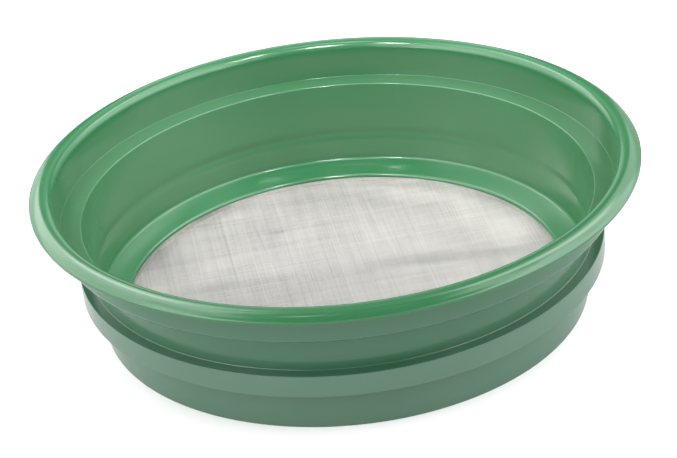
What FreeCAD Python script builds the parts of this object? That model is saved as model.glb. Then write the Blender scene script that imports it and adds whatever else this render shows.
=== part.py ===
"""Stackable sifting pan: a moulded plastic bowl with a woven wire screen for a floor.

Frame: +Z up, origin at the centre of the plane of the bottom edge. Millimetres.
Every piece is turned, so each one is an outline in the XZ plane, revolved about Z.
"""
import FreeCAD, Part
import math
import os
import re
import Sketcher

DOC = FreeCAD.newDocument("sifting_pan")

# Driving dimensions: alias, value, meaning.
DIMENSIONS = [
    ("rim_radius", 168.25, "outermost radius, at the lip of the rim"),
    ("pan_height", 85.2, "bottom edge to the top of the rim"),
    ("wall_thickness", 1.6, "moulded wall, the same everywhere"),
    ("crest_radius", 160.0, "radius of the highest line of the rim"),
    ("crest_round", 5.0, "rounding from the crest in to the upper wall"),
    ("lip_bottom", 80.3, "height of the lip's lower edge"),
    ("lip_face", 1.6, "height of the lip's upright outer face"),
    ("ledge_height", 63.2, "top of the stacking ledge"),
    ("ledge_outer", 154.2, "stacking ledge, outer radius"),
    ("ledge_inner", 142.1, "stacking ledge, inner radius"),
    ("foot_height", 14.8, "where the main wall meets the screen ledge"),
    ("foot_radius", 137.0, "inner radius of the main wall at its foot"),
    ("band_radius", 147.0, "outer radius of the seating band"),
    ("band_top", 37.2, "top of the shelf above the seating band"),
    ("band_bottom", 24.7, "lower edge of the seating band"),
    ("screen_opening", 123.0, "inner radius of the screen ledge and the clamp ring"),
    ("screen_top", 8.4, "upper face of the wire cloth"),
    ("screen_edge", 1.5, "thickness of the screen ledge at its inner edge, before rounding"),
    ("seat_outer", 129.0, "outer radius of the flat seat above the cloth's edge"),
    ("cloth_inset", 0.2, "cloth's edge to the end of its seat"),
    ("cloth_thickness", 0.5, "two wires thick"),
    ("ring_thickness", 2.4, "height of the clamp ring"),
    ("ring_gap", 0.1, "clamp ring to the wall around it"),
    ("ledge_round", 0.8, "inner edge of the stacking ledge"),
    ("corner_round", 0.3, "corner between the stacking ledge and the upper wall"),
    ("under_round", 1.6, "corner between the main wall and the underside of the stacking ledge"),
    ("overhang_round", 3.2, "lower outer corner of the upper wall"),
    ("foot_round", 2.0, "corner between the main wall and the screen ledge"),
    ("shelf_round", 0.6, "corner between the shelf and the wall above it"),
    ("screen_round", 2.0, "upper edge of the screen opening"),
    ("edge_round", 0.3, "free edges"),
]

# Sizes that follow from the driving ones. slope is radius gained per unit of height on the main wall.
DERIVED = [
    ("lip_top", "lip_bottom + lip_face"),
    ("crest_centre", "pan_height - crest_round"),
    ("dome_drop", "pan_height - lip_top"),
    ("dome_reach", "rim_radius - crest_radius"),
    ("dome_round", "(dome_reach ^ 2 + dome_drop ^ 2) / (2 * dome_drop)"),
    ("dome_centre", "pan_height - dome_round"),
    ("lip_inner", "rim_radius - wall_thickness"),
    ("under_dome", "dome_round - wall_thickness"),
    ("lip_under", "dome_centre + sqrt(under_dome ^ 2 - (lip_inner - crest_radius) ^ 2)"),
    ("slope", "(ledge_inner - foot_radius) / (ledge_height - foot_height)"),
    ("wall_across", "wall_thickness * sqrt(1 + slope ^ 2)"),
    ("ledge_under", "ledge_height - wall_thickness"),
    ("shelf_under", "band_top - wall_thickness"),
    ("base_inner", "foot_radius - foot_height * slope"),
    ("base_outer", "base_inner + wall_across"),
    ("edge_top", "screen_top + screen_edge"),
    ("ledge_rise", "(foot_height - edge_top) / (foot_radius - screen_opening)"),
    ("under_edge", "edge_top - wall_thickness * sqrt(1 + ledge_rise ^ 2)"),
    ("under_height", "(under_edge + (base_inner - screen_opening) * ledge_rise) / (1 - slope * ledge_rise)"),
    ("ring_top", "screen_top - cloth_thickness"),
    ("ring_bottom", "ring_top - ring_thickness"),
    ("cloth_radius", "seat_outer - cloth_inset"),
]

MATCH = 0.01  # how near an edge's radius and height have to be to the ones asked for


def in_sheet(formula):
    """The formula with each alias written as a cell of the sheet."""
    return re.sub(r"[a-z]+_?[a-z_]*", lambda word: "Sizes." + word.group(0), formula)


def make_sheet():
    """The spreadsheet: driving dimensions, then the sizes that follow from them."""
    sheet = DOC.addObject("Spreadsheet::Sheet", "Sizes")
    rows = [(alias, str(value), meaning) for alias, value, meaning in DIMENSIONS]
    rows += [(alias, "=" + formula, "follows from the sizes above") for alias, formula in DERIVED]
    for number, (alias, content, meaning) in enumerate(rows, start=1):
        sheet.set(f"A{number}", alias)
        sheet.set(f"B{number}", content)
        sheet.set(f"C{number}", meaning)
        sheet.setAlias(f"B{number}", alias)
    DOC.recompute()
    return sheet


SHEET = make_sheet()


def value_of(formula):
    return float(SHEET.evalExpression(in_sheet(formula)))


def arc_between(start, end, radius, turn):
    """A circular arc from start to end. turn is 1 for counter-clockwise and -1 for clockwise."""
    along = end - start
    half = along.Length / 2
    left = FreeCAD.Vector(-along.y, along.x, 0).normalize()
    centre = start + along / 2 + left * (turn * math.sqrt(radius ** 2 - half ** 2))
    first, last = (start, end) if turn > 0 else (end, start)
    angles = [math.atan2(point.y - centre.y, point.x - centre.x) for point in (first, last)]
    circle = Part.Circle(centre, FreeCAD.Vector(0, 0, 1), radius)
    return Part.ArcOfCircle(circle, angles[0], angles[1])


def bind(sketch, kind, ends, formula):
    """A dimension on the sketch, bound to the sheet. A zero one puts its point on the sketch's axis."""
    if formula == "0":
        axis = -2 if kind == "DistanceX" else -1
        sketch.addConstraint(Sketcher.Constraint("PointOnObject", *ends, axis))
        return
    place = ends if kind == "Radius" else (-1, 1, *ends)
    index = sketch.addConstraint(Sketcher.Constraint(kind, *place, value_of(formula)))
    sketch.setExpression(f"Constraints[{index}]", in_sheet(formula))


def draw_outline(body, corners):
    """A closed sketch on the body's XZ plane.

    A corner is (radius, height), both formulas, and the edge from it to the next one is straight.
    (radius, height, arc radius, turn) makes that edge an arc.
    """
    sketch = body.newObject("Sketcher::SketchObject", body.Name + "_outline")
    plane = next(f for f in body.Origin.OriginFeatures if f.Role == "XZ_Plane")
    sketch.AttachmentSupport = [(plane, "")]
    sketch.MapMode = "FlatFace"
    points = [FreeCAD.Vector(value_of(c[0]), value_of(c[1]), 0) for c in corners]
    starts, ends = [], []
    for index, corner in enumerate(corners):
        start, end = points[index], points[(index + 1) % len(points)]
        turn = corner[3] if len(corner) > 2 else 1
        if len(corner) > 2:
            edge = arc_between(start, end, value_of(corner[2]), turn)
        else:
            edge = Part.LineSegment(start, end)
        number = sketch.addGeometry(edge, False)
        starts.append((number, 1 if turn > 0 else 2))
        ends.append((number, 2 if turn > 0 else 1))
    for index, corner in enumerate(corners):
        sketch.addConstraint(Sketcher.Constraint("Coincident", *ends[index - 1], *starts[index]))
        bind(sketch, "DistanceX", starts[index], corner[0])
        bind(sketch, "DistanceY", starts[index], corner[1])
        if len(corner) > 2:
            bind(sketch, "Radius", starts[index][:1], corner[2])
    return sketch


def turned_body(label, corners):
    """A body whose solid is the outline revolved all the way round Z."""
    body = DOC.addObject("PartDesign::Body", label)
    body.Label = label
    sketch = draw_outline(body, corners)
    turned = body.newObject("PartDesign::Revolution", label + "_turned")
    turned.Profile = sketch
    turned.ReferenceAxis = (sketch, ["V_Axis"])
    turned.Angle = 360
    body.Tip = turned
    DOC.recompute()
    return body


def round_edges(body, name, radius, places):
    """Rounds the circular edges at these (radius, height) places."""
    base = body.Tip
    wanted = [(value_of(r), value_of(z)) for r, z in places]
    edges = []
    for number, edge in enumerate(base.Shape.Edges, start=1):
        if not isinstance(edge.Curve, Part.Circle):
            continue
        found = (edge.Curve.Radius, edge.Curve.Center.z)
        if any(math.dist(found, place) < MATCH for place in wanted):
            edges.append(f"Edge{number}")
    if len(edges) != len(places):
        raise RuntimeError(f"{name}: found {len(edges)} edges for {len(places)} places")
    fillet = body.newObject("PartDesign::Fillet", name)
    fillet.Base = (base, edges)
    fillet.setExpression("Radius", in_sheet(radius))
    body.Tip = fillet
    DOC.recompute()


def make_pan_body():
    """The moulding: rim, upper wall, stacking ledge, main wall, seating band and screen ledge."""
    outer_at_shelf = "base_outer + band_top * slope"
    outer_under_shelf = "base_outer + shelf_under * slope"
    outer_at_ledge = "base_outer + ledge_under * slope"
    upper_outer = "ledge_outer + wall_thickness"
    band_inner = "band_radius - wall_thickness"
    rim_wall = "crest_radius - crest_round"
    relief = "under_edge + (seat_outer - screen_opening) * ledge_rise"
    body = turned_body("pan_body", [
        ("base_outer", "0"),
        (outer_under_shelf, "shelf_under"),
        (band_inner, "shelf_under"),
        (band_inner, "band_bottom"),
        ("band_radius", "band_bottom"),
        ("band_radius", "band_top"),
        (outer_at_shelf, "band_top"),
        (outer_at_ledge, "ledge_under"),
        (upper_outer, "ledge_under"),
        (rim_wall + " + wall_thickness", "crest_centre", "crest_round - wall_thickness", -1),
        ("crest_radius", "pan_height - wall_thickness", "under_dome", -1),
        ("lip_inner", "lip_under"),
        ("lip_inner", "lip_bottom"),
        ("rim_radius", "lip_bottom"),
        ("rim_radius", "lip_top", "dome_round", 1),
        ("crest_radius", "pan_height", "crest_round", 1),
        (rim_wall, "crest_centre"),
        ("ledge_outer", "ledge_height"),
        ("ledge_inner", "ledge_height"),
        ("foot_radius", "foot_height"),
        ("screen_opening", "edge_top"),
        ("screen_opening", "screen_top"),
        ("seat_outer", "screen_top"),
        ("seat_outer", relief),
        ("base_inner + under_height * slope", "under_height"),
        ("base_inner", "0"),
    ])
    round_edges(body, "ledge_edge", "ledge_round", [("ledge_inner", "ledge_height")])
    round_edges(body, "ledge_corner", "corner_round", [("ledge_outer", "ledge_height")])
    round_edges(body, "overhang", "overhang_round", [(upper_outer, "ledge_under")])
    round_edges(body, "under_overhang", "under_round", [(outer_at_ledge, "ledge_under")])
    round_edges(body, "foot", "foot_round", [("foot_radius", "foot_height")])
    round_edges(body, "opening_edge", "screen_round", [("screen_opening", "edge_top")])
    round_edges(body, "shelf_corner", "shelf_round", [(outer_at_shelf, "band_top")])
    round_edges(body, "free_edges", "edge_round", [
        ("base_outer", "0"),
        ("base_inner", "0"),
        ("band_radius", "band_top"),
        ("band_radius", "band_bottom"),
        (band_inner, "band_bottom"),
        ("rim_radius", "lip_bottom"),
        ("rim_radius", "lip_top"),
        ("lip_inner", "lip_bottom"),
    ])
    return body


def make_screen_cloth():
    """The wire cloth as a plain disc two wires thick, with its edge held under the seat."""
    return turned_body("screen_cloth", [
        ("0", "ring_top"),
        ("cloth_radius", "ring_top"),
        ("cloth_radius", "screen_top"),
        ("0", "screen_top"),
    ])


def make_clamp_ring():
    """The ring that holds the cloth up against its seat. Its outside follows the slope of the wall."""
    ring_outer = "base_inner - ring_gap"
    body = turned_body("screen_clamp_ring", [
        ("screen_opening", "ring_bottom"),
        (ring_outer + " + ring_bottom * slope", "ring_bottom"),
        (ring_outer + " + ring_top * slope", "ring_top"),
        ("screen_opening", "ring_top"),
    ])
    round_edges(body, "ring_edges", "edge_round", [
        ("screen_opening", "ring_bottom"),
        (ring_outer + " + ring_bottom * slope", "ring_bottom"),
    ])
    return body


def check_document(bodies):
    """Stops if any object failed or any piece isn't one valid solid."""
    for thing in DOC.Objects:
        if {"Invalid", "Error"} & set(thing.State):
            raise RuntimeError(f"{thing.Label} failed: {thing.State}")
    for body in bodies:
        shape = body.Shape
        if shape.isNull() or not shape.isValid() or len(shape.Solids) != 1:
            raise RuntimeError(f"{body.Label} isn't one valid solid")


def main():
    bodies = [make_pan_body(), make_screen_cloth(), make_clamp_ring()]
    for body in bodies:
        body.Placement = FreeCAD.Placement()
    DOC.recompute()
    check_document(bodies)
    os.makedirs("parts", exist_ok=True)
    for body in bodies:
        body.Shape.exportStep(f"parts/{body.Label}.step")
        box = body.Shape.BoundBox
        print(f"{body.Label}: volume {body.Shape.Volume:.0f} mm3, z {box.ZMin:.2f} to {box.ZMax:.2f}")


main()
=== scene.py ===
"""Stackable sifting pan: a green moulded bowl with a floor of woven wire.

Metres, in the CAD frame: +Z up, origin at the centre of the plane of the bottom edge.
"""
import math

import bpy
import numpy as np
from mathutils import Matrix, Vector


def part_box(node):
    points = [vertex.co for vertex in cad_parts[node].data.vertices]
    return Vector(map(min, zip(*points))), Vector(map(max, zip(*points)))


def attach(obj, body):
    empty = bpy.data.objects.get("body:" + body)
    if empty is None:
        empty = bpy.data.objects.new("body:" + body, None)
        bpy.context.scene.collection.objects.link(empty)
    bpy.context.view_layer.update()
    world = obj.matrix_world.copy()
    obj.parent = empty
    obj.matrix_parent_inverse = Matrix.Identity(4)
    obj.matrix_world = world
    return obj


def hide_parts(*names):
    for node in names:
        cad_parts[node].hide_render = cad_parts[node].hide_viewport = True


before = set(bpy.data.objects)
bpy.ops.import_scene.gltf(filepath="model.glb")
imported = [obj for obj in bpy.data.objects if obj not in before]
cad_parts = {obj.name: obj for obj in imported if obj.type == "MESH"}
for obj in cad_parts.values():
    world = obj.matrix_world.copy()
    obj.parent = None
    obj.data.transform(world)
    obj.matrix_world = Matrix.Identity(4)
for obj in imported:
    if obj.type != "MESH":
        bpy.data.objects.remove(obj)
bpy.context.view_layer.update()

MM = 0.001
TURN = 2 * math.pi

# ---- the moulding's section, in millimetres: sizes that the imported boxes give, then the rest ----
RIM_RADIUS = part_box("pan_body")[1].x / MM
PAN_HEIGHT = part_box("pan_body")[1].z / MM
CLOTH_LOW, CLOTH_HIGH = (corner.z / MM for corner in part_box("screen_cloth"))
CLOTH_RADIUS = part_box("screen_cloth")[1].x / MM
RING_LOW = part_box("screen_clamp_ring")[0].z / MM
RING_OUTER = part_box("screen_clamp_ring")[1].x / MM

WALL = 1.6
CREST_RADIUS, CREST_ROUND = 160.0, 5.0
LIP_BOTTOM, LIP_FACE = 80.3, 1.6
LEDGE_HEIGHT, LEDGE_OUTER, LEDGE_INNER = 63.2, 154.2, 142.1
FOOT_HEIGHT, FOOT_RADIUS = 14.8, 137.0
BAND_RADIUS, BAND_TOP, BAND_BOTTOM = 147.0, 37.2, 24.7
SCREEN_OPENING, SCREEN_EDGE, SEAT_OUTER = 123.0, 1.5, 129.0
LEDGE_ROUND, CORNER_ROUND = 0.8, 0.3      # stacking ledge: inner edge, and corner with the upper wall
UNDER_ROUND, OVERHANG_ROUND = 1.6, 3.2    # under the stacking ledge: at the main wall, and farther out
SHELF_ROUND, BAND_ROUND = 0.6, 0.4        # over the band's shelf, and inside the band
FOOT_ROUND, SCREEN_ROUND = 2.0, 2.0
EDGE_ROUND = 0.3

# A faint hollow runs round the inside of the main wall, behind the band.
SINK_DEPTH, SINK_WIDTH, SINK_REACH = 0.45, 3.2, 10.0

# The main wall leans out by WALL_SLOPE for each unit of height, from BASE_INNER, its inner radius at
# the bottom edge.
WALL_SLOPE = (LEDGE_INNER - FOOT_RADIUS) / (LEDGE_HEIGHT - FOOT_HEIGHT)
BASE_INNER = FOOT_RADIUS - FOOT_HEIGHT * WALL_SLOPE


def arc(centre, radius, first, last, count):
    """Points on a circular arc in the section. Angles in degrees, counter-clockwise from outwards."""
    angles = np.radians(np.linspace(first, last, count))
    return [(centre[0] + radius * math.cos(a), centre[1] + radius * math.sin(a), 0.0) for a in angles]


def sunk_wall():
    """Points down the inside of the wall past the hollow behind the band."""
    middle = (BAND_TOP + BAND_BOTTOM) / 2
    points = []
    for height in np.linspace(middle + SINK_REACH, middle - SINK_REACH, 29):
        sink = SINK_DEPTH * math.exp(-((height - middle) / SINK_WIDTH) ** 2)
        points.append((FOOT_RADIUS + (height - FOOT_HEIGHT) * WALL_SLOPE + sink, height, 0.0))
    return points


def pan_section():
    """The closed outline of the moulding, (radius, height, rounding), counter-clockwise from its foot."""
    base_outer = BASE_INNER + WALL * math.hypot(1, WALL_SLOPE)
    edge_top = CLOTH_HIGH + SCREEN_EDGE
    rise = (FOOT_HEIGHT - edge_top) / (FOOT_RADIUS - SCREEN_OPENING)
    under_edge = edge_top - WALL * math.hypot(1, rise)
    under = (under_edge + (BASE_INNER - SCREEN_OPENING) * rise) / (1 - WALL_SLOPE * rise)
    lip_top = LIP_BOTTOM + LIP_FACE
    drop, reach = PAN_HEIGHT - lip_top, RIM_RADIUS - CREST_RADIUS
    dome = (reach ** 2 + drop ** 2) / (2 * drop)
    dome_centre = (CREST_RADIUS, PAN_HEIGHT - dome)
    crest_centre = (CREST_RADIUS, PAN_HEIGHT - CREST_ROUND)
    outer_start = math.degrees(math.atan2(lip_top - dome_centre[1], reach))
    inner_end = math.degrees(math.acos((reach - WALL) / (dome - WALL)))
    under_crest = arc(crest_centre, CREST_ROUND - WALL, 180, 90, 8)
    under_dome = arc(dome_centre, dome - WALL, 90, inner_end, 14)
    over_dome = arc(dome_centre, dome, outer_start, 90, 28)
    over_crest = arc(crest_centre, CREST_ROUND, 90, 180, 16)
    over_dome[0] = (RIM_RADIUS, lip_top, EDGE_ROUND)
    return [
        (base_outer, 0.0, EDGE_ROUND),
        (base_outer + (BAND_TOP - WALL) * WALL_SLOPE, BAND_TOP - WALL, BAND_ROUND),
        (BAND_RADIUS - WALL, BAND_TOP - WALL, BAND_ROUND),
        (BAND_RADIUS - WALL, BAND_BOTTOM, EDGE_ROUND),
        (BAND_RADIUS, BAND_BOTTOM, EDGE_ROUND),
        (BAND_RADIUS, BAND_TOP, EDGE_ROUND),
        (base_outer + BAND_TOP * WALL_SLOPE, BAND_TOP, SHELF_ROUND),
        (base_outer + (LEDGE_HEIGHT - WALL) * WALL_SLOPE, LEDGE_HEIGHT - WALL, UNDER_ROUND),
        (LEDGE_OUTER + WALL, LEDGE_HEIGHT - WALL, OVERHANG_ROUND),
        *under_crest,
        *under_dome[1:],
        (RIM_RADIUS - WALL, LIP_BOTTOM, EDGE_ROUND),
        (RIM_RADIUS, LIP_BOTTOM, EDGE_ROUND),
        *over_dome,
        *over_crest[1:],
        (LEDGE_OUTER, LEDGE_HEIGHT, CORNER_ROUND),
        (LEDGE_INNER, LEDGE_HEIGHT, LEDGE_ROUND),
        *sunk_wall(),
        (FOOT_RADIUS, FOOT_HEIGHT, FOOT_ROUND),
        (SCREEN_OPENING, edge_top, SCREEN_ROUND),
        (SCREEN_OPENING, CLOTH_HIGH, 0.0),
        (SEAT_OUTER, CLOTH_HIGH, 0.0),
        (SEAT_OUTER, under_edge + (SEAT_OUTER - SCREEN_OPENING) * rise, 0.0),
        (BASE_INNER + under * WALL_SLOPE, under, 0.0),
        (BASE_INNER, 0.0, EDGE_ROUND),
    ]


def ring_section():
    """The closed outline of the clamp ring. Its outside follows the slope of the wall around it."""
    low_outer = RING_OUTER - (CLOTH_LOW - RING_LOW) * WALL_SLOPE
    return [
        (SCREEN_OPENING, RING_LOW, EDGE_ROUND),
        (low_outer, RING_LOW, EDGE_ROUND),
        (RING_OUTER, CLOTH_LOW, 0.0),
        (SCREEN_OPENING, CLOTH_LOW, 0.0),
    ]


def rounded(section, step=4.0, margin=0.12):
    """The outline as (radius, height) points, with its corners rounded.

    A straight run gets a point close to each end, so that the shading stays flat along it.
    """
    corners = [np.array(c[:2]) for c in section]
    pieces = []
    for index, (here, corner) in enumerate(zip(corners, section)):
        back = corners[index - 1] - here
        ahead = corners[(index + 1) % len(corners)] - here
        back_unit, ahead_unit = back / np.linalg.norm(back), ahead / np.linalg.norm(ahead)
        angle = math.acos(np.clip(back_unit @ ahead_unit, -1, 1))
        if corner[2] == 0:
            pieces.append([here])
            continue
        reach = corner[2] / math.tan(angle / 2)
        middle = back_unit + ahead_unit
        centre = here + middle / np.linalg.norm(middle) * corner[2] / math.sin(angle / 2)
        first, last = here + back_unit * reach - centre, here + ahead_unit * reach - centre
        turn = math.pi - angle
        sign = math.copysign(1, first[0] * last[1] - first[1] * last[0])
        count = max(4, round(math.degrees(turn) / 12))
        curve = []
        for part in np.linspace(0, turn * sign, count):
            cosine, sine = math.cos(part), math.sin(part)
            spoke = (first[0] * cosine - first[1] * sine, first[0] * sine + first[1] * cosine)
            curve.append(centre + spoke)
        pieces.append(curve)
    points = []
    for index, curve in enumerate(pieces):
        points += curve
        start, end = curve[-1], pieces[(index + 1) % len(pieces)][0]
        length = np.linalg.norm(end - start)
        if length < 6 * margin:
            continue
        inner = np.linspace(margin, length - margin, max(2, math.ceil(length / step) + 1))
        points += [start + (end - start) * along / length for along in inner]
    return np.array(points)


def mesh_object(name, vertices, faces, corners=4):
    """A mesh object from arrays of vertices and of faces with the same number of corners."""
    mesh = bpy.data.meshes.new(name)
    count = len(faces)
    mesh.vertices.add(len(vertices))
    mesh.vertices.foreach_set("co", np.asarray(vertices, np.float32).ravel())
    mesh.loops.add(count * corners)
    mesh.loops.foreach_set("vertex_index", np.asarray(faces, np.int32).ravel())
    mesh.polygons.add(count)
    mesh.polygons.foreach_set("loop_start", np.arange(0, count * corners, corners, dtype=np.int32))
    mesh.update(calc_edges=True)
    mesh.validate()
    mesh.shade_smooth()
    obj = bpy.data.objects.new(name, mesh)
    bpy.context.scene.collection.objects.link(obj)
    return obj


def turned(name, section, around):
    """The section revolved all the way round Z, as quads that face outwards."""
    outline = rounded(section) * MM
    angles = np.arange(around) * TURN / around
    rings = np.stack([
        outline[None, :, 0] * np.cos(angles)[:, None],
        outline[None, :, 0] * np.sin(angles)[:, None],
        np.broadcast_to(outline[None, :, 1], (around, len(outline))),
    ], axis=-1)
    place = np.arange(around * len(outline)).reshape(around, len(outline))
    beside, above = np.roll(place, -1, axis=0), np.roll(place, -1, axis=1)
    both = np.roll(beside, -1, axis=1)
    faces = np.stack([place, beside, both, above], axis=-1).reshape(-1, 4)
    obj = mesh_object(name, rings.reshape(-1, 3), faces)
    obj.data.set_sharp_from_angle(angle=math.radians(40))
    return obj


# ---- the wire cloth, in millimetres ----
PITCH = 0.635         # wire to wire: 40 to the inch
WIRE = (CLOTH_HIGH - CLOTH_LOW) / 2
CLOTH_TURN = math.radians(7.5)
SIDES = 4             # flats round a wire, which its square ends need too
PARTS = 7             # pieces that each family of wires is divided into
WANDER, WANDER_WINDOW = 0.04, 41    # drift from wire to wire, less its mean over so many wires
JITTER, MOST_OFF = 0.015, 0.2       # a wire's own error of place, and the most it is out of place


def wire_family(name, direction, over, chance):
    """One family of crimped wires, as PARTS objects.

    direction is the wires' angle in plan. over is 1 or -1: which family passes on top where both
    counts are even.
    """
    along = np.array([math.cos(direction), math.sin(direction)])
    across = np.array([-along[1], along[0]])
    most = int(CLOTH_RADIUS / PITCH)
    numbers = np.arange(-most, most + 1)
    drift = np.cumsum(chance.normal(0, WANDER, len(numbers)))
    window = np.hanning(WANDER_WINDOW)
    drift -= np.convolve(np.pad(drift, WANDER_WINDOW // 2, mode="edge"), window / window.sum(), mode="valid")
    errors = drift + chance.normal(0, JITTER, len(numbers))
    offsets = numbers * PITCH + np.clip(errors, -MOST_OFF, MOST_OFF)
    middle = (CLOTH_LOW + CLOTH_HIGH) / 2
    corner_angles = np.arange(SIDES) * TURN / SIDES
    objects = []
    for part, members in enumerate(np.array_split(np.arange(len(numbers)), PARTS), start=1):
        vertices, faces, used = [], [], 0
        for member in members:
            offset = offsets[member]
            if abs(offset) > CLOTH_RADIUS - 0.5:
                continue
            reach = math.sqrt(CLOTH_RADIUS ** 2 - offset ** 2) - 0.05
            steps = np.arange(-int(reach / PITCH), int(reach / PITCH) + 1)
            lift = np.where((steps + numbers[member]) % 2 == 0, over, -over) * WIRE / 2
            places = np.concatenate([[-reach], steps * PITCH, [reach]])
            heights = np.concatenate([[0.0], lift, [0.0]])
            centre = along * places[:, None] + across * offset
            ring = np.empty((len(places), SIDES, 3))
            for side, angle in enumerate(corner_angles):
                sideways, up = math.cos(angle) * WIRE / 2, math.sin(angle) * WIRE / 2
                ring[:, side, :2] = centre + across * sideways
                ring[:, side, 2] = middle + heights + up
            place = used + np.arange(ring.shape[0] * SIDES).reshape(-1, SIDES)
            beside = np.roll(place, -1, axis=1)
            sides = np.stack([place[:-1], place[1:], beside[1:], beside[:-1]], axis=-1)
            faces += [sides.reshape(-1, 4), np.stack([place[0], place[-1][::-1]])]
            vertices.append(ring.reshape(-1, 3))
            used += ring.shape[0] * SIDES
        obj = mesh_object(f"{name}_{part}", np.concatenate(vertices) * MM, np.concatenate(faces))
        objects.append(obj)
    return objects


# ---- materials ----
class Nodes:
    """A few shorthands for building a material's node tree."""

    def __init__(self, name):
        self.material = bpy.data.materials.new(name)
        self.material.use_nodes = True
        self.tree = self.material.node_tree
        self.shader = self.tree.nodes["Principled BSDF"]
        coordinates = self.tree.nodes.new("ShaderNodeTexCoord")
        self.place = coordinates.outputs["Object"]

    def link(self, source, target):
        self.tree.links.new(source, target)

    def turned_place(self, middle, angle, size):
        """The place measured from a middle point (x, y, z), turned about Z and in units of size (x, y, z)."""
        mapping = self.tree.nodes.new("ShaderNodeMapping")
        mapping.vector_type = "TEXTURE"
        mapping.inputs["Location"].default_value = middle
        mapping.inputs["Rotation"].default_value = (0, 0, angle)
        mapping.inputs["Scale"].default_value = size
        self.link(self.place, mapping.inputs["Vector"])
        return mapping.outputs["Vector"]

    def noise(self, scale, detail, roughness=0.5, place=None):
        node = self.tree.nodes.new("ShaderNodeTexNoise")
        node.inputs["Scale"].default_value = scale
        node.inputs["Detail"].default_value = detail
        node.inputs["Roughness"].default_value = roughness
        self.link(place or self.place, node.inputs["Vector"])
        return node.outputs["Fac"]

    def patch(self, x, y, half_length, half_width, angle):
        """A soft-edged oval round (x, y) in plan, in millimetres and degrees: 1 in the middle, 0 outside."""
        size = (half_length * MM, half_width * MM, 1)
        place = self.turned_place((x * MM, y * MM, 0), math.radians(angle), size)
        node = self.tree.nodes.new("ShaderNodeVectorMath")
        node.operation = "LENGTH"
        self.link(place, node.inputs[0])
        return self.spread(node.outputs["Value"], 1.0, 0.45, 0.0, 1.0)

    def total(self, parts, start):
        """start plus each (socket, weight) of parts."""
        for source, weight in parts:
            node = self.tree.nodes.new("ShaderNodeMath")
            node.operation = "MULTIPLY_ADD"
            self.link(source, node.inputs[0])
            node.inputs[1].default_value = weight
            if isinstance(start, float):
                node.inputs[2].default_value = start
            else:
                self.link(start, node.inputs[2])
            start = node.outputs["Value"]
        return start

    def spread(self, source, low, high, out_low, out_high):
        """source from low to high, stretched to run from out_low to out_high and held there."""
        node = self.tree.nodes.new("ShaderNodeMapRange")
        names = ("From Min", "From Max", "To Min", "To Max")
        for name, value in zip(names, (low, high, out_low, out_high)):
            node.inputs[name].default_value = value
        self.link(source, node.inputs["Value"])
        return node.outputs["Result"]

    def mix(self, factor, first, second):
        """A mix of two colours. Each is a socket or an (r, g, b)."""
        node = self.tree.nodes.new("ShaderNodeMix")
        node.data_type = "RGBA"
        self.link(factor, node.inputs[0])
        for number, colour in ((6, first), (7, second)):
            if isinstance(colour, tuple):
                node.inputs[number].default_value = (*colour, 1)
            else:
                self.link(colour, node.inputs[number])
        return node.outputs[2]

    def bump(self, height, strength, distance):
        node = self.tree.nodes.new("ShaderNodeBump")
        node.inputs["Strength"].default_value = strength
        node.inputs["Distance"].default_value = distance
        self.link(height, node.inputs["Height"])
        return node.outputs["Normal"]


# Colours, linear.
GREEN_RIM, GREEN_DEEP = (0.020, 0.102, 0.040), (0.010, 0.060, 0.022)
# The greyer greens of the walls and the band are painted sheen: a painted reflection over the one green of
# the plastic.
GREEN_INSIDE_SHEEN, GREEN_OUTSIDE_SHEEN, GREEN_BAND_SHEEN = (0.036, 0.115, 0.051), (0.035, 0.101, 0.056), (0.060, 0.123, 0.084)
WIRE_DARK, WIRE_LIGHT = (0.185, 0.180, 0.170), (0.765, 0.748, 0.708)

# Where one green passes into the next: the heights or radii in millimetres between which it does.
FROM_LEDGE_UP = (62.6, 62.9)
UPPER_WALL_MIDDLE = (155.2, 155.6)
UNDER_RIM = (77.0, 80.5)
HALF_BLEND = 0.3      # half of the width over which the main wall's inside passes into its outside


def green_colour(nodes):
    """The moulding's colour: clean green on the rim, and on the walls a painted sheen that makes them a
    little greyer, the more so outside.
    """
    split = nodes.tree.nodes.new("ShaderNodeSeparateXYZ")
    nodes.link(nodes.place, split.inputs[0])
    height = split.outputs["Z"]
    flat = nodes.tree.nodes.new("ShaderNodeVectorMath")
    flat.operation = "MULTIPLY"
    nodes.link(nodes.place, flat.inputs[0])
    flat.inputs[1].default_value = (1, 1, 0)
    length = nodes.tree.nodes.new("ShaderNodeVectorMath")
    length.operation = "LENGTH"
    nodes.link(flat.outputs["Vector"], length.inputs[0])
    radius = length.outputs["Value"]

    def passing(source, low, high):
        return nodes.spread(source, low * MM, high * MM, 0.0, 1.0)

    base = nodes.total([(height, -WALL_SLOPE)], radius)
    base_middle = BASE_INNER + WALL / 2
    outside_low = passing(base, base_middle - HALF_BLEND, base_middle + HALF_BLEND)
    outside_high = passing(radius, *UPPER_WALL_MIDDLE)
    high = passing(height, *FROM_LEDGE_UP)
    outside = nodes.tree.nodes.new("ShaderNodeMix")
    nodes.link(high, outside.inputs[0])
    nodes.link(outside_low, outside.inputs[2])
    nodes.link(outside_high, outside.inputs[3])
    over_shelf = passing(height, BAND_TOP - 0.7, BAND_TOP - 0.3)
    outer = nodes.mix(over_shelf, GREEN_BAND_SHEEN, GREEN_OUTSIDE_SHEEN)
    over_foot = passing(height, FOOT_HEIGHT, FOOT_HEIGHT + 4.0)
    inner = nodes.mix(over_foot, GREEN_RIM, GREEN_INSIDE_SHEEN)
    # The walls get the painted sheen greens, inside and outside.
    walls = nodes.mix(outside.outputs[0], inner, outer)
    return nodes.mix(passing(height, *UNDER_RIM), walls, GREEN_RIM)


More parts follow.
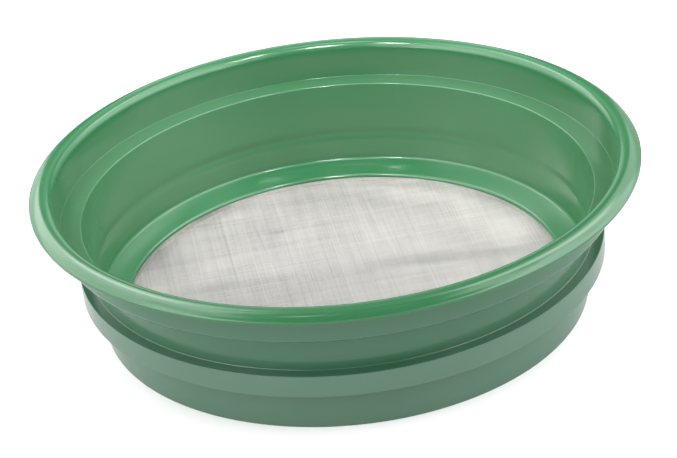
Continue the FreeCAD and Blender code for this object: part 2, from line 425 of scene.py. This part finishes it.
def plastic(nodes, colour):
    """Semi-gloss moulded plastic. colour is a socket of nodes or an (r, g, b)."""
    cloud = nodes.spread(nodes.noise(14.0, 4.0), 0.3, 0.7, 0.0, 0.12)
    nodes.link(nodes.mix(cloud, colour, GREEN_DEEP), nodes.shader.inputs["Base Color"])
    nodes.link(nodes.spread(nodes.noise(60.0, 5.0), 0.3, 0.7, 0.15, 0.20), nodes.shader.inputs["Roughness"])
    peel = nodes.bump(nodes.noise(520.0, 2.0), 0.05, 0.0004)
    nodes.link(peel, nodes.shader.inputs["Normal"])
    nodes.shader.inputs["IOR"].default_value = 1.5
    return nodes.material


# Soft patches on the cloth: x, y, half length and half width in millimetres, angle in degrees, tone. The
# broad bright ones at the right and the back are painted light, which lifts the shade that the wall casts on
# the cloth there. The two long dark bands across the middle are painted shadow. The small spots and thin
# streaks make the cloth a little darker or lighter in places.
CLOTH_MARKS_AND_PAINTED_LIGHT = [
    # Two long dark bands across the middle: painted shadow.
    (66, 12, 62, 8.5, -1, -0.19),
    (-62, 5, 48, 5.5, 5, -0.12),
    # Broad bright patches at the right and the back: painted light over the shade that the wall casts on the
    # cloth.
    (98, 38, 20, 26, 0, 0.12),
    (96, 62, 44, 44, 0, 0.20),
    (112, 12, 34, 48, 0, 0.20),
    (48, 104, 58, 24, -23, 0.28),
    (-22, 118, 55, 18, 10, 0.16),
    (85, 40, 90, 90, 0, 0.14),
    (-103, 34, 22, 26, 0, -0.08),
    (50, 100, 16, 15, 30, -0.07),
    (-37, 63, 7, 4, 0, -0.14),
    (-8, 66, 34, 2.5, 6, -0.06),
    (-67, 50, 70, 0.9, 98, -0.12),
    (-45, 45, 76, 0.9, 102, -0.09),
    (24, 58, 60, 2.0, 101, 0.06),
    (-36, 92, 26, 1.6, 99, 0.10),
]


MEAN_TONE, CLOUD_WEIGHT = 0.395, 0.6    # the wires' tone, from WIRE_DARK at 0 to WIRE_LIGHT at 1


def wire(name, direction, each_weight, group_weight):
    """Dull stainless wire, with painted light and painted shadow in patches. direction is the wires' angle in
    plan: their tone changes from wire to wire.
    """
    nodes = Nodes(name)
    each = nodes.noise(1.0, 1.0, 0.5, nodes.turned_place((0, 0, 0), direction, (0.15, 0.0011, 1)))
    group = nodes.noise(1.0, 2.0, 0.6, nodes.turned_place((0, 0, 0), direction, (0.25, 0.006, 1)))
    cloud = nodes.noise(22.0, 4.0, 0.6)
    parts = [(each, each_weight), (group, group_weight), (cloud, CLOUD_WEIGHT)]
    # Patches of painted light, painted shadow and tone from the list above.
    parts += [(nodes.patch(*oval), tone) for *oval, tone in CLOTH_MARKS_AND_PAINTED_LIGHT]
    tone = nodes.total(parts, MEAN_TONE - 0.5 * (each_weight + group_weight + CLOUD_WEIGHT))
    nodes.link(nodes.mix(tone, WIRE_DARK, WIRE_LIGHT), nodes.shader.inputs["Base Color"])
    nodes.shader.inputs["Metallic"].default_value = 1.0
    nodes.shader.inputs["Roughness"].default_value = 0.42
    return nodes.material


FLOOR_IN_GLOSS = (0.58, 0.58, 0.58)


def floor_material():
    """Pale paper. It is darker in the pan's gloss, so that the pan's outline doesn't melt into it."""
    nodes = Nodes("pale_floor")
    cloud = nodes.spread(nodes.noise(2.0, 2.0), 0.3, 0.7, 0.0, 1.0)
    pale = nodes.mix(cloud, (0.78, 0.78, 0.78), (0.80, 0.80, 0.80))
    rays = nodes.tree.nodes.new("ShaderNodeLightPath")
    in_gloss = nodes.mix(rays.outputs["Is Glossy Ray"], pale, FLOOR_IN_GLOSS)
    nodes.link(in_gloss, nodes.shader.inputs["Base Color"])
    nodes.shader.inputs["Roughness"].default_value = 0.9
    nodes.shader.inputs["Specular IOR Level"].default_value = 0.1
    return nodes.material


# ---- build ----
chance = np.random.default_rng(7)
PAN_CORNERS, RING_CORNERS = 288, 256    # corners round each turned piece
pan = turned("pan_moulding", pan_section(), PAN_CORNERS)
pan_nodes = Nodes("green_plastic")
pan.data.materials.append(plastic(pan_nodes, green_colour(pan_nodes)))
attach(pan, "root")
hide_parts("pan_body")

ring = turned("clamp_ring", ring_section(), RING_CORNERS)
# The ring takes the band's greyer green: painted sheen, as on the walls.
ring.data.materials.append(plastic(Nodes("ring_plastic"), GREEN_BAND_SHEEN))
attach(ring, "root")
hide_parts("screen_clamp_ring")

for family, direction, over, each_weight, group_weight in (
    ("wires_across", CLOTH_TURN, 1, 0.45, 0.35),
    ("wires_along", CLOTH_TURN + math.pi / 2, -1, 1.2, 0.85),
):
    wire_material = wire(family, direction, each_weight, group_weight)
    for obj in wire_family(family, direction, over, chance):
        obj.data.materials.append(wire_material)
        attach(obj, "root")
        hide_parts("screen_cloth")

# ---- stage ----
FLOOR_RADIUS, FLOOR_CORNERS = 1.45, 64
floor_angles = np.arange(FLOOR_CORNERS) * TURN / FLOOR_CORNERS
floor_directions = np.stack([np.cos(floor_angles), np.sin(floor_angles), np.zeros(FLOOR_CORNERS)], axis=-1)
floor = mesh_object("floor", floor_directions * FLOOR_RADIUS, [range(FLOOR_CORNERS)], FLOOR_CORNERS)
floor.location.z = -0.0001
floor.data.materials.append(floor_material())


def camera_at(distance, elevation, roll, pan_angle, tilt, focal):
    """A camera in front of the pan and above it, aimed near the origin."""
    elevation, roll = math.radians(elevation), math.radians(roll)
    back = Vector((0, -math.cos(elevation), math.sin(elevation)))
    right = Vector((1, 0, 0))
    rows = Matrix((right, back.cross(right), back))
    rows = Matrix.Rotation(-roll, 3, "Z") @ rows
    rows = Matrix.Rotation(tilt, 3, "X") @ Matrix.Rotation(pan_angle, 3, "Y") @ rows
    data = bpy.data.cameras.new("camera")
    data.lens = focal
    data.sensor_width = 36.0
    data.clip_start, data.clip_end = 0.01, 100.0
    camera = bpy.data.objects.new("camera", data)
    bpy.context.scene.collection.objects.link(camera)
    camera.matrix_world = Matrix.Translation(back * distance) @ rows.transposed().to_4x4()
    bpy.context.scene.camera = camera


camera_at(distance=1.2100, elevation=30.264, roll=-5.8865, pan_angle=-0.0037, tilt=-0.0290, focal=112.99)

PAN_MIDDLE = Vector((0, 0, 0.04))

# Two walls of soft panels, to the right and the left of the pan. Their rows rise in even steps. Their
# columns go round in even steps, from the front to the back, and a column's angle is counted from straight
# out to the side. A panel fills its place in the wall, and its radiance is its column's times its row's
# share. Lengths are in metres, angles in degrees.
PANEL_DISTANCE = 1.5
FIRST_ROW, ROW_STEP, ROW_SHARES = 9, 18, (0.4, 1.0, 1.0)
FIRST_COLUMN, COLUMN_STEP = -56, 22
COLUMN_RADIANCES = {
    "right": (2.8, 5.5, 5.5, 5.0, 3.5, 1.7),
    "left": (3.5, 5.5, 5.0, 3.5, 3.5, 4.0),
}
PANEL_HEIGHT = 2 * PANEL_DISTANCE * math.tan(math.radians(ROW_STEP / 2))
COLUMN_WIDTH = 2 * PANEL_DISTANCE * math.tan(math.radians(COLUMN_STEP / 2))

# Single panels: name, azimuth, elevation, distance, width, height, radiance.
PANELS = [
    ("strip_front_right", -48, 14, 1.5, 0.18, 0.3, 9.0),
    ("strip_front_left", -132, 14, 1.5, 0.18, 0.3, 9.0),
    ("key_left", 114, 47, 1.5, 0.34, 0.58, 4.5),
    ("key_right", 46, 52, 1.5, 0.28, 0.85, 4.5),
    ("right_high", 0, 62, 1.5, 0.5, 0.42, 3.5),
    ("back_right_high", 40, 62, 1.5, 0.5, 0.42, 1.6),
    ("left_high", 180, 62, 1.5, 0.5, 0.42, 3.0),
    ("back_left_high", 140, 62, 1.5, 0.5, 0.42, 4.2),
    ("front_low", -90, 12, 1.8, 1.0, 0.6, 0.5),
    ("front_mid", -90, 36, 1.6, 0.8, 0.6, 0.8),
    ("back_high", 90, 66, 1.5, 0.6, 0.5, 0.5),
    ("back_mid", 90, 40, 1.6, 0.5, 0.6, 0.6),
    ("back_low", 90, 15, 1.7, 0.7, 0.6, 1.2),
]

# Soft spots: name, place, aim, angle in degrees, radius, watts.
SPOTS = [
    ("inside_back", (0, -0.7, 1.3), (0, 0.145, 0.04), 15, 0.08, 60.0),
    ("inside_left", (0.45, -0.45, 1.35), (-0.125, 0.065, 0.04), 13, 0.08, 75.0),
    ("inside_right", (-0.45, -0.45, 1.35), (0.125, 0.065, 0.04), 13, 0.08, 78.0),
    ("top_back", (0, 0.25, 1.35), (0, 0.145, 0.06), 13, 0.2, 16.0),
    ("top_left", (-0.25, 0.1, 1.35), (-0.135, 0.06, 0.06), 13, 0.2, 26.0),
    ("top_right", (0.25, 0.1, 1.35), (0.135, 0.06, 0.06), 13, 0.2, 4.5),
]


def aimed_light(name, kind, place, aim):
    """A light at place that faces aim. The camera doesn't see it."""
    obj = bpy.data.objects.new(name, bpy.data.lights.new(name, kind))
    bpy.context.scene.collection.objects.link(obj)
    obj.location = place
    obj.rotation_mode = "QUATERNION"
    obj.rotation_quaternion = (Vector(aim) - Vector(place)).to_track_quat("-Z", "Y")
    obj.visible_camera = False
    return obj.data


def soft_panel(name, azimuth, elevation, distance, width, height, radiance):
    """A rectangular soft light that faces the middle of the pan."""
    azimuth, elevation = math.radians(azimuth), math.radians(elevation)
    flat = math.cos(elevation)
    outwards = Vector((flat * math.cos(azimuth), flat * math.sin(azimuth), math.sin(elevation)))
    data = aimed_light(name, "AREA", PAN_MIDDLE + distance * outwards, PAN_MIDDLE)
    data.shape = "RECTANGLE"
    data.size, data.size_y = width, height
    data.energy = radiance * math.pi * width * height


def soft_spot(name, place, aim, angle, radius, watts):
    """A spot light with a wide soft edge."""
    data = aimed_light(name, "SPOT", place, aim)
    data.energy, data.shadow_soft_size = watts, radius
    data.spot_size, data.spot_blend = math.radians(angle), 1.0


for side, radiances in COLUMN_RADIANCES.items():
    for column, radiance in enumerate(radiances):
        angle = FIRST_COLUMN + column * COLUMN_STEP
        azimuth = angle if side == "right" else 180 - angle
        for row, share in enumerate(ROW_SHARES):
            elevation = FIRST_ROW + row * ROW_STEP
            width = COLUMN_WIDTH * math.cos(math.radians(elevation))
            name = f"{side}_wall_{column + 1}_{row + 1}"
            soft_panel(name, azimuth, elevation, PANEL_DISTANCE, width, PANEL_HEIGHT, radiance * share)
for panel in PANELS:
    soft_panel(*panel)
for spot in SPOTS:
    soft_spot(*spot)

# A dim room, which the camera sees as a white one.
ROOM_LIGHT, ROOM_SEEN = 0.12, 1.2
world = bpy.data.worlds.new("studio")
bpy.context.scene.world = world
world.use_nodes = True
tree = world.node_tree
room, backdrop = tree.nodes["Background"], tree.nodes.new("ShaderNodeBackground")
for background, strength in ((room, ROOM_LIGHT), (backdrop, ROOM_SEEN)):
    background.inputs["Color"].default_value = (1, 1, 1, 1)
    background.inputs["Strength"].default_value = strength
rays, both = tree.nodes.new("ShaderNodeLightPath"), tree.nodes.new("ShaderNodeMixShader")
tree.links.new(rays.outputs["Is Camera Ray"], both.inputs[0])
tree.links.new(room.outputs["Background"], both.inputs[1])
tree.links.new(backdrop.outputs["Background"], both.inputs[2])
tree.links.new(both.outputs["Shader"], tree.nodes["World Output"].inputs["Surface"])

bpy.context.scene.view_settings.view_transform = "Standard"
